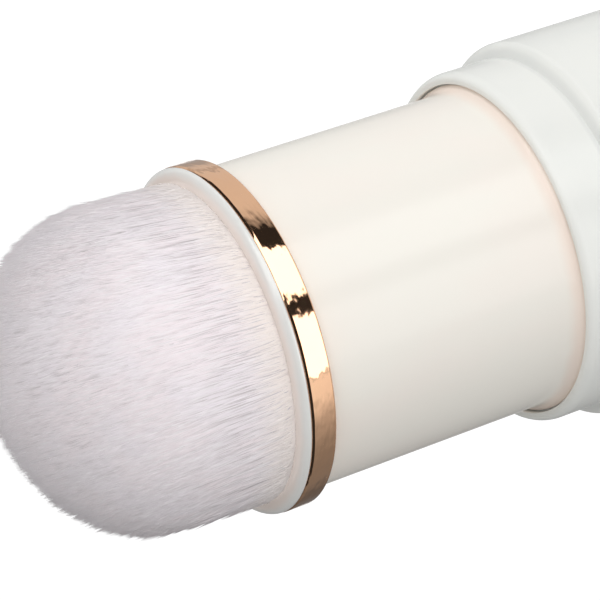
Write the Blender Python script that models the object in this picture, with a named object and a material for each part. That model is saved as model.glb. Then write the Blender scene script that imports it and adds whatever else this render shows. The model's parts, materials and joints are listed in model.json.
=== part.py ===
"""Retractable makeup brush with a twist-up mechanism, in metres, +Z up.

The brush stands on its base with the bristles up and out. The origin is the centre of the base, and
everything that moves does so about or along the Z axis. The barrel turns in the handle. A spindle with
two spiral grooves stands in the handle, and a nut on it carries the bristles. Keys on the carriage slide
in keyways inside the barrel, so turning the barrel winds the bristles down into it.
"""

import math

import bmesh
import bpy

# Barrel and what shows on it
BARREL_RADIUS = 0.0150
BARREL_WALL = 0.0008
BARREL_SHOWN = 0.0256
RING_PROUD = 0.00105
RING_HEIGHT = 0.0024
RING_EDGE = 0.0003
LIP_SETBACK = 0.00005
LIP_HEIGHT = 0.00088
LIP_EDGE = 0.00015
LIP_CREST_WIDTH = 0.00055
LIP_FUNNEL = 0.0029
LIP_SKIRT = 0.0112
MOUTH_STEP = 0.0008

# Neck and handle
NECK_CLEARANCE = 0.0006
NECK_WALL = 0.00115
NECK_LENGTH = 0.0052
NECK_RIM_ROUND_SHARE = 0.4
SHOULDER_RISE = 0.0016
SHOULDER_DEPTH = 0.0030
HANDLE_WALL = 0.0013
BASE_ROUND_SHARE = 0.75

# Bristles
BRISTLE_REACH = 0.0209
BRISTLE_SWELL = 0.00085
SWELL_RISE = 0.0085
FLARE_RISE = 0.0008
ROOT_DEPTH = 0.00548
ROOT_MARGIN = 0.00045
SLICE_HEIGHT = 0.0010
TIP_SINK = 0.0016
STRAND_COUNT = 300
STRAND_WIDTH_SHARE = 0.38
BELLY_HEIGHT_SHARE = 0.72
BELLY_WIDTH_SHARE = 0.9
STRAND_SIDES = 3

# Twist-up mechanism
TURNS = 1.5
SPINDLE_RADIUS = 0.0040
GROOVE_DEPTH = 0.0010
GROOVE_COUNT = 2
GROOVE_HALF_ANGLE = math.radians(26)
LUG_PLAY_ANGLE = math.radians(10)
SPINDLE_FLANGE = 0.0035
SPINDLE_FLANGE_HEIGHT = 0.0012
SPINDLE_TIP = 0.0020
GROOVE_START = 0.0015
NUT_WALL = 0.0013
NUT_HEIGHT = 0.0040
TUBE_WALL = 0.0012
BORE_END_ROOM = 0.0011
LIFT_HEAD_HEIGHT = 0.0012
LIFT_HEAD_SETBACK = 0.0030
SPIGOT_RADIUS = 0.0030
PLATFORM_HEIGHT = 0.0025
KEY_COUNT = 4
KEY_WIDTH = 0.0024
KEY_HEIGHT = 0.0008
KEYWAY_END = 0.0015
LIFT_ROOM = 0.0050
SLEEVE_WALL = 0.0007

# Bristle cup
CUP_WALL = 0.0006
CUP_FLOOR = 0.0008
CUP_RIM = 0.0004
GLUE_HEIGHT = 0.0010

# Foot of the barrel and its friction ring
FOOT_FLANGE_HEIGHT = 0.0030
FOOT_PLATE = 0.0022
FOOT_RIM_HEIGHT = 0.0024
FOOT_RIM_WALL = 0.0020
DRAG_GROOVE_DEPTH = 0.0008

# Inside the handle
LINER_WALL = 0.0009
LINER_FLOOR = 0.0016
BUSH_HEIGHT = 0.0060
BASE_PLATE = 0.0016
CAP_SKIRT_WALL = 0.0011
WEIGHT_HEIGHT = 0.0046
WEIGHT_HOLE = 0.0050
THRUST_HEIGHT = 0.0006
THRUST_MARGIN = 0.0030
SCREW_RADIUS = 0.0013
SCREW_HEAD_RADIUS = 0.0030
SCREW_HEAD_HEIGHT = 0.0014
SCREW_BITE = 0.0060
SCREW_SLOT_WIDTH = 0.0006
SCREW_SLOT_DEPTH = 0.0007
WASHER_MARGIN = 0.0008
WASHER_HEIGHT = 0.0005

# Gaps: round a fixed piece, under a seated face, round a moving piece, between trim pieces that touch
FIT_GAP = 0.0002
FACE_GAP = 0.0003
RUN_GAP = 0.0003
TRIM_GAP = 0.0001

# How finely curves are cut
SEGMENTS = 48
INNER_SEGMENTS = 32
ARC_STEPS = 3
SHOULDER_STEPS = 6
LAND_STEPS = 5
DRAG_SIDES = 8
TWIST_STEP = math.radians(20)
CUT_OVERRUN = 0.0010
MERGE_DISTANCE = 0.0000001
SMOOTH_ANGLE = math.radians(30)

# Radii, from the barrel's wall outwards
NECK_BORE = BARREL_RADIUS + NECK_CLEARANCE
NECK_RADIUS = NECK_BORE + NECK_WALL
LINER_BORE = NECK_BORE
LINER_RADIUS = LINER_BORE + LINER_WALL
HANDLE_BORE = LINER_RADIUS + FIT_GAP
HANDLE_RADIUS = HANDLE_BORE + HANDLE_WALL
SHOULDER_STEP = HANDLE_RADIUS - NECK_RADIUS
RING_RADIUS = BARREL_RADIUS + RING_PROUD
LIP_RADIUS = RING_RADIUS - LIP_SETBACK

# Radii, from the barrel's wall inwards
BARREL_BORE = BARREL_RADIUS - BARREL_WALL
SLEEVE_RADIUS = BARREL_BORE - FIT_GAP
SLEEVE_BORE = SLEEVE_RADIUS - SLEEVE_WALL
GUIDE_BORE = SLEEVE_BORE - KEY_HEIGHT
MOUTH_RADIUS = BARREL_RADIUS - MOUTH_STEP
CUP_RADIUS = SLEEVE_BORE - RUN_GAP
CUP_BORE = CUP_RADIUS - CUP_WALL
SLICE_RADIUS = CUP_BORE - FIT_GAP
SWELL_RADIUS = MOUTH_RADIUS + BRISTLE_SWELL

# Radii, from the spindle outwards
NUT_BORE = SPINDLE_RADIUS + RUN_GAP
NUT_RADIUS = NUT_BORE + NUT_WALL
TUBE_RADIUS = NUT_RADIUS + FIT_GAP + TUBE_WALL
TUBE_BORE = NUT_BORE + RUN_GAP
JOURNAL_HOLE = SPINDLE_RADIUS + RUN_GAP
SCREW_HOLE = SCREW_RADIUS + FIT_GAP

# Heights, from the base up
WEIGHT_BOTTOM = BASE_PLATE + FACE_GAP
WEIGHT_TOP = WEIGHT_BOTTOM + WEIGHT_HEIGHT
LINER_BOTTOM = WEIGHT_TOP + FACE_GAP
SCREW_BOTTOM = WEIGHT_TOP + FACE_GAP
WASHER_BOTTOM = SCREW_BOTTOM + SCREW_HEAD_HEIGHT + TRIM_GAP
FLOOR_BOTTOM = WASHER_BOTTOM + WASHER_HEIGHT + TRIM_GAP
FLOOR_TOP = FLOOR_BOTTOM + LINER_FLOOR
THRUST_BOTTOM = FLOOR_TOP + FIT_GAP
FOOT_BOTTOM = THRUST_BOTTOM + THRUST_HEIGHT + RUN_GAP
FOOT_PLATE_TOP = FOOT_BOTTOM + FOOT_PLATE
FOOT_FLANGE_TOP = FOOT_BOTTOM + FOOT_FLANGE_HEIGHT
FOOT_RIM_TOP = FOOT_FLANGE_TOP + FOOT_RIM_HEIGHT
SPINDLE_BOTTOM = FLOOR_TOP + FACE_GAP
SPINDLE_FLANGE_BOTTOM = FOOT_PLATE_TOP + RUN_GAP
SPINDLE_FLANGE_TOP = SPINDLE_FLANGE_BOTTOM + SPINDLE_FLANGE_HEIGHT

# Heights of the carriage with the bristles out
TRAVEL = BRISTLE_REACH + TIP_SINK
LEAD = TRAVEL / TURNS
PLATFORM_BOTTOM = FOOT_RIM_TOP + LIFT_ROOM + TRAVEL
PLATFORM_TOP = PLATFORM_BOTTOM + PLATFORM_HEIGHT
NUT_TOP = PLATFORM_BOTTOM + NUT_HEIGHT
KEYWAY_TOP = PLATFORM_TOP + RUN_GAP
GUIDE_TOP = KEYWAY_TOP + KEYWAY_END
GROOVE_BOTTOM = PLATFORM_BOTTOM - TRAVEL - GROOVE_START
SPINDLE_TOP = NUT_TOP + SPINDLE_TIP
TUBE_BORE_TOP = SPINDLE_TOP + TRAVEL + BORE_END_ROOM
LIFT_HEAD_TOP = TUBE_BORE_TOP + LIFT_HEAD_HEIGHT
CUP_BOTTOM = LIFT_HEAD_TOP + FACE_GAP
CUP_FLOOR_TOP = CUP_BOTTOM + CUP_FLOOR
GLUE_BOTTOM = CUP_FLOOR_TOP + FACE_GAP
SLICE_BOTTOM = GLUE_BOTTOM + GLUE_HEIGHT + FACE_GAP
SLICE_TOP = SLICE_BOTTOM + SLICE_HEIGHT
CUP_TOP = SLICE_TOP + CUP_RIM

# Heights of what shows, from the mouth down: the handle is as long as the mechanism needs
LIP_TOP = CUP_TOP + ROOT_DEPTH
RING_TOP = LIP_TOP - LIP_HEIGHT
RING_BOTTOM = RING_TOP - RING_HEIGHT
BARREL_TOP = RING_BOTTOM - TRIM_GAP
BARREL_BOTTOM = FOOT_FLANGE_TOP + TRIM_GAP
SKIRT_BOTTOM = LIP_TOP - LIP_SKIRT
NECK_RIM = RING_BOTTOM - BARREL_SHOWN
SHOULDER_TOP = NECK_RIM - NECK_LENGTH
SHOULDER_BOTTOM = SHOULDER_TOP - SHOULDER_RISE
HANDLE_BORE_TOP = SHOULDER_TOP - SHOULDER_DEPTH
BUSH_BOTTOM = HANDLE_BORE_TOP - FACE_GAP - BUSH_HEIGHT
LINER_TOP = BUSH_BOTTOM - FACE_GAP
SWELL_HEIGHT = LIP_TOP + SWELL_RISE
TIP_HEIGHT = LIP_TOP + BRISTLE_REACH

# Finishes: colour, roughness, metallic
FINISHES = {
    "handle_white": ((0.80, 0.81, 0.77), 0.28, 0.0),
    "barrel_cream": ((0.90, 0.88, 0.83), 0.22, 0.0),
    "lip_white": ((0.82, 0.83, 0.80), 0.25, 0.0),
    "rose_gold": ((0.87, 0.56, 0.40), 0.12, 1.0),
    "bristle": ((0.80, 0.75, 0.79), 0.60, 0.0),
    "inner_plastic": ((0.75, 0.75, 0.73), 0.45, 0.0),
    "slip_plastic": ((0.62, 0.63, 0.64), 0.35, 0.0),
    "steel": ((0.55, 0.56, 0.58), 0.30, 1.0),
    "aluminium": ((0.78, 0.79, 0.80), 0.30, 1.0),
    "rubber": ((0.06, 0.06, 0.07), 0.80, 0.0),
    "glue": ((0.72, 0.62, 0.40), 0.35, 0.0),
}


def clear_scene():
    for old in list(bpy.data.objects):
        bpy.data.objects.remove(old, do_unlink=True)


def finish_material(name):
    """The finish as a Principled BSDF material, made once."""
    if name in bpy.data.materials:
        return bpy.data.materials[name]
    colour, roughness, metallic = FINISHES[name]
    material = bpy.data.materials.new(name)
    material.use_nodes = True
    shader = material.node_tree.nodes["Principled BSDF"]
    shader.inputs["Base Color"].default_value = (*colour, 1.0)
    shader.inputs["Roughness"].default_value = roughness
    shader.inputs["Metallic"].default_value = metallic
    return material


def place(name, bm, finish, carrier):
    """Turns a closed bmesh into a named object under its carrier, smooth where it is round."""
    bmesh.ops.remove_doubles(bm, verts=bm.verts, dist=MERGE_DISTANCE)
    bmesh.ops.recalc_face_normals(bm, faces=bm.faces)
    mesh = bpy.data.meshes.new(name)
    bm.to_mesh(mesh)
    bm.free()
    mesh.shade_smooth()
    mesh.set_sharp_from_angle(angle=SMOOTH_ANGLE)
    mesh.materials.append(finish_material(finish))
    piece = bpy.data.objects.new(name, mesh)
    bpy.context.scene.collection.objects.link(piece)
    piece.parent = carrier
    return piece


def axis_empty(name):
    """An empty on the brush's axis, which carries the pieces that move together."""
    empty = bpy.data.objects.new(name, None)
    bpy.context.scene.collection.objects.link(empty)
    return empty


def arc(radius, height, across, up, start, end, steps=ARC_STEPS):
    """Outline points on an ellipse round (radius, height), from start to end in degrees."""
    angles = [math.radians(start + (end - start) * step / steps) for step in range(steps + 1)]
    return [(radius + across * math.cos(a), height + up * math.sin(a)) for a in angles]


def spin_outline(bm, outline, segments):
    """Spins an outline of (radius, height) points round the Z axis. One that ends on the axis stays open."""
    points = [bm.verts.new((radius, 0.0, height)) for radius, height in outline]
    on_axis = outline[0][0] == 0 and outline[-1][0] == 0
    pairs = list(zip(points, points[1:])) + ([] if on_axis else [(points[-1], points[0])])
    edges = [bm.edges.new(pair) for pair in pairs]
    bmesh.ops.spin(
        bm, geom=points + edges, axis=(0, 0, 1), cent=(0, 0, 0), angle=math.tau, steps=segments, use_merge=True
    )


def turned(name, outline, finish, carrier, segments=SEGMENTS):
    bm = bmesh.new()
    spin_outline(bm, outline, segments)
    return place(name, bm, finish, carrier)


def tube_outline(bore, radius, bottom, top):
    return [(bore, bottom), (radius, bottom), (radius, top), (bore, top)]


def rod_outline(radius, bottom, top):
    return [(0, bottom), (radius, bottom), (radius, top), (0, top)]


def boxes_round(bm, count, inner, outer, width, bottom, top):
    """Boxes spaced evenly round the Z axis, from radius inner to radius outer."""
    for index in range(count):
        turn = math.tau * index / count
        across, along = math.cos(turn), math.sin(turn)
        corners = []
        for height in (bottom, top):
            for radius, side in ((inner, -width), (outer, -width), (outer, width), (inner, width)):
                spot = (radius * across - side / 2 * along, radius * along + side / 2 * across, height)
                corners.append(bm.verts.new(spot))
        low, high = corners[:4], corners[4:]
        bm.faces.new(low)
        bm.faces.new(high)
        for corner in range(4):
            following = (corner + 1) % 4
            bm.faces.new((low[corner], low[following], high[following], high[corner]))


def boolean(piece, tool, operation):
    """Joins a hidden tool to a piece, or cuts it away, with a modifier that stays on the piece."""
    tool.hide_render = True
    tool.display_type = "WIRE"
    modifier = piece.modifiers.new(tool.name, "BOOLEAN")
    modifier.operation = operation
    modifier.object = tool


def grooved_outline(radius, step, half_angle):
    """A round section whose radius changes by step over half_angle each side of every groove or lug."""
    points = []
    pitch = math.tau / GROOVE_COUNT
    for index in range(GROOVE_COUNT):
        middle = pitch * index
        for side in (-1, 0, 1):
            points.append((radius + step, middle + side * half_angle))
        land = pitch - 2 * half_angle
        for share in range(LAND_STEPS + 1):
            points.append((radius, middle + half_angle + land * share / LAND_STEPS))
    return points


def twisted_rings(bm, outline, bottom, top):
    """Rings of an outline of (radius, angle) points, turned by the spindle's lead as they rise."""
    steps = math.ceil(math.tau * (top - bottom) / LEAD / TWIST_STEP)
    rings = []
    for step in range(steps + 1):
        height = bottom + (top - bottom) * step / steps
        turn = math.tau * (height - PLATFORM_BOTTOM) / LEAD
        rings.append(
            [bm.verts.new((r * math.cos(a + turn), r * math.sin(a + turn), height)) for r, a in outline]
        )
    return rings


def skin(bm, rings):
    for lower, upper in zip(rings, rings[1:]):
        for index in range(len(lower)):
            following = (index + 1) % len(lower)
            bm.faces.new((lower[index], lower[following], upper[following], upper[index]))


def handle_shell(handle):
    """Outer shell: straight body, soft shoulder and the neck that the barrel comes out of."""
    shoulder = []
    for step in range(SHOULDER_STEPS + 1):
        share = step / SHOULDER_STEPS
        ease = (1 - math.cos(math.pi * share)) / 2
        shoulder.append((HANDLE_RADIUS - SHOULDER_STEP * ease, SHOULDER_BOTTOM + SHOULDER_RISE * share))
    base = BASE_ROUND_SHARE * HANDLE_WALL
    rim = NECK_RIM_ROUND_SHARE * NECK_WALL
    outline = (
        [(HANDLE_BORE, 0)]
        + arc(HANDLE_RADIUS - base, base, base, base, -90, 0)
        + shoulder
        + arc(NECK_RADIUS - rim, NECK_RIM - rim, rim, rim, 0, 90)
        + arc(NECK_BORE + rim, NECK_RIM - rim, rim, rim, 90, 180)
        + [(NECK_BORE, HANDLE_BORE_TOP), (HANDLE_BORE, HANDLE_BORE_TOP)]
    )
    return turned("handle_shell", outline, "handle_white", handle)


def neck_bush(handle):
    """Bush under the shoulder that keeps the barrel centred."""
    outline = tube_outline(BARREL_RADIUS + RUN_GAP, LINER_RADIUS, BUSH_BOTTOM, BUSH_BOTTOM + BUSH_HEIGHT)
    return turned("neck_bush", outline, "slip_plastic", handle)


def handle_liner(handle):
    """Inner chassis: a tube with a floor that the spindle is screwed to."""
    outline = [
        (SCREW_HOLE, FLOOR_BOTTOM),
        (LINER_BORE, FLOOR_BOTTOM),
        (LINER_BORE, LINER_BOTTOM),
        (LINER_RADIUS, LINER_BOTTOM),
        (LINER_RADIUS, LINER_TOP),
        (LINER_BORE, LINER_TOP),
        (LINER_BORE, FLOOR_TOP),
        (SCREW_HOLE, FLOOR_TOP),
    ]
    return turned("handle_liner", outline, "inner_plastic", handle)


def base_cap(handle):
    """Plate that closes the handle, with a skirt that holds it in the shell."""
    skirt_bore = LINER_RADIUS - CAP_SKIRT_WALL
    outline = [
        (0, 0),
        (LINER_RADIUS, 0),
        (LINER_RADIUS, WEIGHT_TOP),
        (skirt_bore, WEIGHT_TOP),
        (skirt_bore, BASE_PLATE),
        (0, BASE_PLATE),
    ]
    return turned("base_cap", outline, "handle_white", handle)


def base_weight(handle):
    radius = LINER_RADIUS - CAP_SKIRT_WALL - FIT_GAP
    outline = tube_outline(WEIGHT_HOLE, radius, WEIGHT_BOTTOM, WEIGHT_TOP)
    return turned("base_weight", outline, "steel", handle, INNER_SEGMENTS)


def drive_spindle(handle):
    """Fixed spindle: journal, flange that keeps the barrel's foot down, and two spiral grooves."""
    flange = SPINDLE_RADIUS + SPINDLE_FLANGE
    shaft_top = GROOVE_BOTTOM + GROOVE_START / 2
    foot = [
        (0, SPINDLE_BOTTOM),
        (SPINDLE_RADIUS, SPINDLE_BOTTOM),
        (SPINDLE_RADIUS, SPINDLE_FLANGE_BOTTOM),
        (flange, SPINDLE_FLANGE_BOTTOM),
        (flange, SPINDLE_FLANGE_TOP),
        (SPINDLE_RADIUS, SPINDLE_FLANGE_TOP),
        (SPINDLE_RADIUS, shaft_top),
        (0, shaft_top),
    ]
    bm = bmesh.new()
    spin_outline(bm, foot, INNER_SEGMENTS)
    spindle = place("drive_spindle", bm, "inner_plastic", handle)

    bm = bmesh.new()
    rings = twisted_rings(
        bm, grooved_outline(SPINDLE_RADIUS, -GROOVE_DEPTH, GROOVE_HALF_ANGLE), GROOVE_BOTTOM, SPINDLE_TOP
    )
    skin(bm, rings)
    bm.faces.new(rings[0])
    bm.faces.new(rings[-1])
    boolean(spindle, place("spindle_spiral", bm, "inner_plastic", handle), "UNION")

    bm = bmesh.new()
    spin_outline(bm, rod_outline(SCREW_HOLE, SPINDLE_BOTTOM - CUT_OVERRUN, screw_top() + FACE_GAP), INNER_SEGMENTS)
    boolean(spindle, place("spindle_pilot_hole", bm, "inner_plastic", handle), "DIFFERENCE")
    return spindle


def screw_top():
    return SPINDLE_BOTTOM + SCREW_BITE


def spindle_screw(handle):
    """Pan-head screw from below, which clamps the spindle to the liner's floor."""
    shoulder = SCREW_BOTTOM + SCREW_HEAD_HEIGHT
    outline = [
        (0, SCREW_BOTTOM),
        (SCREW_HEAD_RADIUS, SCREW_BOTTOM),
        (SCREW_HEAD_RADIUS, shoulder),
        (SCREW_RADIUS, shoulder),
        (SCREW_RADIUS, screw_top() - SCREW_RADIUS),
        (0, screw_top()),
    ]
    screw = turned("spindle_screw", outline, "steel", handle, INNER_SEGMENTS)
    bm = bmesh.new()
    slot_top = SCREW_BOTTOM + SCREW_SLOT_DEPTH
    end = SCREW_HEAD_RADIUS + CUT_OVERRUN
    boxes_round(bm, 1, -end, end, SCREW_SLOT_WIDTH, SCREW_BOTTOM - CUT_OVERRUN, slot_top)
    boolean(screw, place("spindle_screw_slot", bm, "steel", handle), "DIFFERENCE")
    return screw


def screw_washer(handle):
    radius = SCREW_HEAD_RADIUS + WASHER_MARGIN
    outline = tube_outline(SCREW_HOLE, radius, WASHER_BOTTOM, WASHER_BOTTOM + WASHER_HEIGHT)
    return turned("screw_washer", outline, "steel", handle, INNER_SEGMENTS)


def thrust_washer(handle):
    """Slippery washer on the liner's floor, which the barrel's foot turns on."""
    outline = tube_outline(
        JOURNAL_HOLE, LINER_BORE - THRUST_MARGIN, THRUST_BOTTOM, THRUST_BOTTOM + THRUST_HEIGHT
    )
    return turned("thrust_washer", outline, "slip_plastic", handle, INNER_SEGMENTS)


def barrel_tube(barrel):
    outline = tube_outline(BARREL_BORE, BARREL_RADIUS, BARREL_BOTTOM, BARREL_TOP)
    return turned("barrel_tube", outline, "barrel_cream", barrel)


def barrel_foot(barrel):
    """Foot pressed into the barrel's lower end, kept between the thrust washer and the spindle's flange."""
    rim = SLEEVE_RADIUS - FOOT_RIM_WALL
    groove = BARREL_RADIUS - DRAG_GROOVE_DEPTH
    room = drag_room() / 2 + TRIM_GAP
    middle = drag_middle()
    outline = [
        (JOURNAL_HOLE, FOOT_BOTTOM),
        (BARREL_RADIUS, FOOT_BOTTOM),
        (BARREL_RADIUS, middle - room),
        (groove, middle - room),
        (groove, middle + room),
        (BARREL_RADIUS, middle + room),
        (BARREL_RADIUS, FOOT_FLANGE_TOP),
        (SLEEVE_RADIUS, FOOT_FLANGE_TOP),
        (SLEEVE_RADIUS, FOOT_RIM_TOP),
        (rim, FOOT_RIM_TOP),
        (rim, FOOT_PLATE_TOP),
        (JOURNAL_HOLE, FOOT_PLATE_TOP),
    ]
    return turned("barrel_foot", outline, "inner_plastic", barrel, INNER_SEGMENTS)


def drag_middle():
    return FOOT_BOTTOM + FOOT_FLANGE_HEIGHT / 2


def drag_room():
    """Width of the friction ring's section: the groove's depth and the running gap, less a gap at each side."""
    return DRAG_GROOVE_DEPTH + NECK_CLEARANCE - 2 * TRIM_GAP


def drag_ring(barrel):
    """Rubber ring in the foot's groove, which rubs in the liner and gives the twist its drag."""
    section = drag_room() / 2
    outline = arc(LINER_BORE - TRIM_GAP - section, drag_middle(), section, section, 0, 360, DRAG_SIDES)
    return turned("drag_ring", outline[:-1], "rubber", barrel, INNER_SEGMENTS)


def guide_sleeve(barrel):
    """Sleeve inside the barrel. Its lower length has the keyways, which end above the raised carriage."""
    bottom = FOOT_RIM_TOP + FACE_GAP
    top = SKIRT_BOTTOM - FACE_GAP
    outline = [
        (GUIDE_BORE, bottom),
        (SLEEVE_RADIUS, bottom),
        (SLEEVE_RADIUS, top),
        (SLEEVE_BORE, top),
        (SLEEVE_BORE, GUIDE_TOP + KEY_HEIGHT),
        (GUIDE_BORE, GUIDE_TOP),
    ]
    sleeve = turned("guide_sleeve", outline, "inner_plastic", barrel)
    bm = bmesh.new()
    width = KEY_WIDTH + 2 * RUN_GAP
    boxes_round(bm, KEY_COUNT, GUIDE_BORE - CUT_OVERRUN, SLEEVE_BORE, width, bottom - CUT_OVERRUN, KEYWAY_TOP)
    boolean(sleeve, place("guide_sleeve_keyways", bm, "inner_plastic", barrel), "DIFFERENCE")
    return sleeve


def mouth_lip(barrel):
    """White bead round the mouth, on a skirt that plugs into the barrel through the trim ring."""
    crest = MOUTH_RADIUS + LIP_CREST_WIDTH
    seat = RING_TOP + TRIM_GAP
    outer_up = LIP_TOP - seat - LIP_EDGE
    collar = (SLEEVE_RADIUS + BARREL_RADIUS) / 2
    outline = (
        [
            (SLEEVE_BORE, SKIRT_BOTTOM),
            (SLEEVE_RADIUS, SKIRT_BOTTOM),
            (SLEEVE_RADIUS, RING_BOTTOM),
            (collar, RING_BOTTOM),
            (collar, seat),
            (LIP_RADIUS - LIP_EDGE, seat),
        ]
        + arc(crest, seat + LIP_EDGE, LIP_RADIUS - crest, outer_up, 0, 90, ARC_STEPS + 1)
        + arc(crest, LIP_TOP - LIP_CREST_WIDTH, LIP_CREST_WIDTH, LIP_CREST_WIDTH, 90, 180)[1:]
        + [(SLEEVE_BORE, LIP_TOP - LIP_FUNNEL)]
    )
    return turned("mouth_lip", outline, "lip_white", barrel)


def trim_ring(barrel):
    """Polished ring between the lip and the barrel."""
    bore = (SLEEVE_RADIUS + BARREL_RADIUS) / 2 + TRIM_GAP
    shoulder = RING_RADIUS - RING_EDGE
    outline = (
        [(bore, RING_BOTTOM)]
        + arc(shoulder, RING_BOTTOM + RING_EDGE, RING_EDGE, RING_EDGE, -90, 0, 2)
        + arc(shoulder, RING_TOP - RING_EDGE, RING_EDGE, RING_EDGE, 0, 90, 2)
        + [(bore, RING_TOP)]
    )
    return turned("trim_ring", outline, "rose_gold", barrel)


def lift_tube(carriage):
    """Platform with keys, the tube that clears the spindle, and the head that the bristle cup sits on."""
    socket = NUT_RADIUS + FIT_GAP
    head = CUP_RADIUS - LIFT_HEAD_SETBACK
    platform = GUIDE_BORE - RUN_GAP
    spigot_top = CUP_FLOOR_TOP - FIT_GAP
    outline = [
        (socket, PLATFORM_BOTTOM),
        (platform, PLATFORM_BOTTOM),
        (platform, PLATFORM_TOP),
        (TUBE_RADIUS, PLATFORM_TOP),
        (TUBE_RADIUS, TUBE_BORE_TOP),
        (head, TUBE_BORE_TOP),
        (head, LIFT_HEAD_TOP),
        (SPIGOT_RADIUS, LIFT_HEAD_TOP),
        (SPIGOT_RADIUS, spigot_top),
        (0, spigot_top),
        (0, TUBE_BORE_TOP),
        (TUBE_BORE, TUBE_BORE_TOP),
        (TUBE_BORE, NUT_TOP + FACE_GAP),
        (socket, NUT_TOP + FACE_GAP),
    ]
    bm = bmesh.new()
    spin_outline(bm, outline, INNER_SEGMENTS)
    tube = place("lift_tube", bm, "inner_plastic", carriage)
    bm = bmesh.new()
    tip = SLEEVE_BORE - RUN_GAP
    boxes_round(
        bm, KEY_COUNT, platform - CUT_OVERRUN, tip, KEY_WIDTH, PLATFORM_BOTTOM + FIT_GAP, PLATFORM_TOP - FIT_GAP
    )
    boolean(tube, place("lift_tube_keys", bm, "inner_plastic", carriage), "UNION")
    return tube


def drive_nut(carriage):
    """Nut in the lift tube, whose two lugs follow the spindle's spiral grooves."""
    lugs = grooved_outline(NUT_BORE, -GROOVE_DEPTH, GROOVE_HALF_ANGLE - LUG_PLAY_ANGLE)
    wall = [(NUT_RADIUS, angle) for _, angle in lugs]
    bm = bmesh.new()
    inner = twisted_rings(bm, lugs, PLATFORM_BOTTOM, NUT_TOP)
    outer = twisted_rings(bm, wall, PLATFORM_BOTTOM, NUT_TOP)
    skin(bm, inner)
    skin(bm, outer)
    skin(bm, [inner[0], outer[0]])
    skin(bm, [inner[-1], outer[-1]])
    return place("drive_nut", bm, "slip_plastic", carriage)


def brush_cup(carriage):
    """Metal cup that holds the roots of the bristles."""
    hole = SPIGOT_RADIUS + FIT_GAP
    outline = [
        (hole, CUP_BOTTOM),
        (CUP_RADIUS, CUP_BOTTOM),
        (CUP_RADIUS, CUP_TOP),
        (CUP_BORE, CUP_TOP),
        (CUP_BORE, CUP_FLOOR_TOP),
        (hole, CUP_FLOOR_TOP),
    ]
    return turned("brush_cup", outline, "aluminium", carriage, INNER_SEGMENTS)


def glue_plug(carriage):
    outline = rod_outline(SLICE_RADIUS, GLUE_BOTTOM, GLUE_BOTTOM + GLUE_HEIGHT)
    return turned("glue_plug", outline, "glue", carriage, INNER_SEGMENTS)


def strand_tip(reach):
    """Height of the dome of bristle tips at a radius."""
    share = min(reach / SWELL_RADIUS, 1.0)
    return SWELL_HEIGHT + (TIP_HEIGHT - SWELL_HEIGHT) * math.sqrt(1 - share * share)


def strand_ring(bm, radius, turn, width, height):
    """Corners of a strand's section, whose middle is at a radius and a turn round the axis."""
    ring = []
    for side in range(STRAND_SIDES):
        angle = turn + math.tau * side / STRAND_SIDES
        x = radius * math.cos(turn) + width * math.cos(angle)
        y = radius * math.sin(turn) + width * math.sin(angle)
        ring.append(bm.verts.new((x, y, height)))
    return ring


def bristle_head(carriage):
    """Bristles, and the slice of set roots that they grow from.

    Strands start on a spiral of even spacing and all spread from the axis alike, so none cross. Each has
    a ring in the slice, one just over the lip where the bundle flares, one where it starts to taper, and
    a tip on the dome.
    """
    slice_of_roots = turned(
        "bristle_head", rod_outline(SLICE_RADIUS, SLICE_BOTTOM, SLICE_TOP), "bristle", carriage
    )
    pitch = SLICE_RADIUS * math.sqrt(math.pi / STRAND_COUNT)
    width = STRAND_WIDTH_SHARE * pitch
    bundle = SLICE_RADIUS - ROOT_MARGIN
    flare = (MOUTH_RADIUS - width) / bundle
    spread = SWELL_RADIUS / (bundle + width)
    golden_turn = math.pi * (3 - math.sqrt(5))
    bm = bmesh.new()
    for index in range(STRAND_COUNT):
        radius = bundle * math.sqrt((index + 0.5) / STRAND_COUNT)
        turn = index * golden_turn
        low, high = LIP_TOP + FLARE_RISE, strand_tip(radius * spread)
        belly = flare + (spread - flare) * BELLY_HEIGHT_SHARE
        stations = (
            (1.0, width, SLICE_BOTTOM + SLICE_HEIGHT / 2),
            (flare, width, low),
            (belly, width * BELLY_WIDTH_SHARE, low + (high - low) * BELLY_HEIGHT_SHARE),
        )
        rings = [strand_ring(bm, radius * share, turn, size, height) for share, size, height in stations]
        skin(bm, rings)
        bm.faces.new(rings[0])
        reach = radius * spread
        tip = bm.verts.new((reach * math.cos(turn), reach * math.sin(turn), high))
        for side in range(STRAND_SIDES):
            bm.faces.new((rings[-1][side], rings[-1][(side + 1) % STRAND_SIDES], tip))
    boolean(slice_of_roots, place("bristle_strands", bm, "bristle", carriage), "UNION")
    return slice_of_roots


def build():
    clear_scene()
    handle = axis_empty("handle")
    barrel = axis_empty("barrel")
    carriage = axis_empty("carriage")
    barrel.parent = handle
    carriage.parent = barrel
    for make in (
        handle_shell,
        neck_bush,
        handle_liner,
        base_cap,
        base_weight,
        drive_spindle,
        spindle_screw,
        screw_washer,
        thrust_washer,
    ):
        make(handle)
    for make in (barrel_tube, barrel_foot, drag_ring, guide_sleeve, mouth_lip, trim_ring):
        make(barrel)
    for make in (lift_tube, drive_nut, brush_cup, glue_plug, bristle_head):
        make(carriage)


build()
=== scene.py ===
"""Looks of the retractable makeup brush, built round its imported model, in metres, +Z up.

The brush stands on its base with the bristles up. The photograph looks down on it from the front and
is turned on its side, so the camera is rolled. What shows is modelled here as smooth turned pieces and
a head of separate hairs; the mechanism inside keeps its own shapes and gets its finishes.
Azimuths are in degrees from the front, towards +X.
"""

import json
import math

import bmesh
import bpy
import numpy as np
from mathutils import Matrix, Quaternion, Vector
from mathutils.kdtree import KDTree


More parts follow.
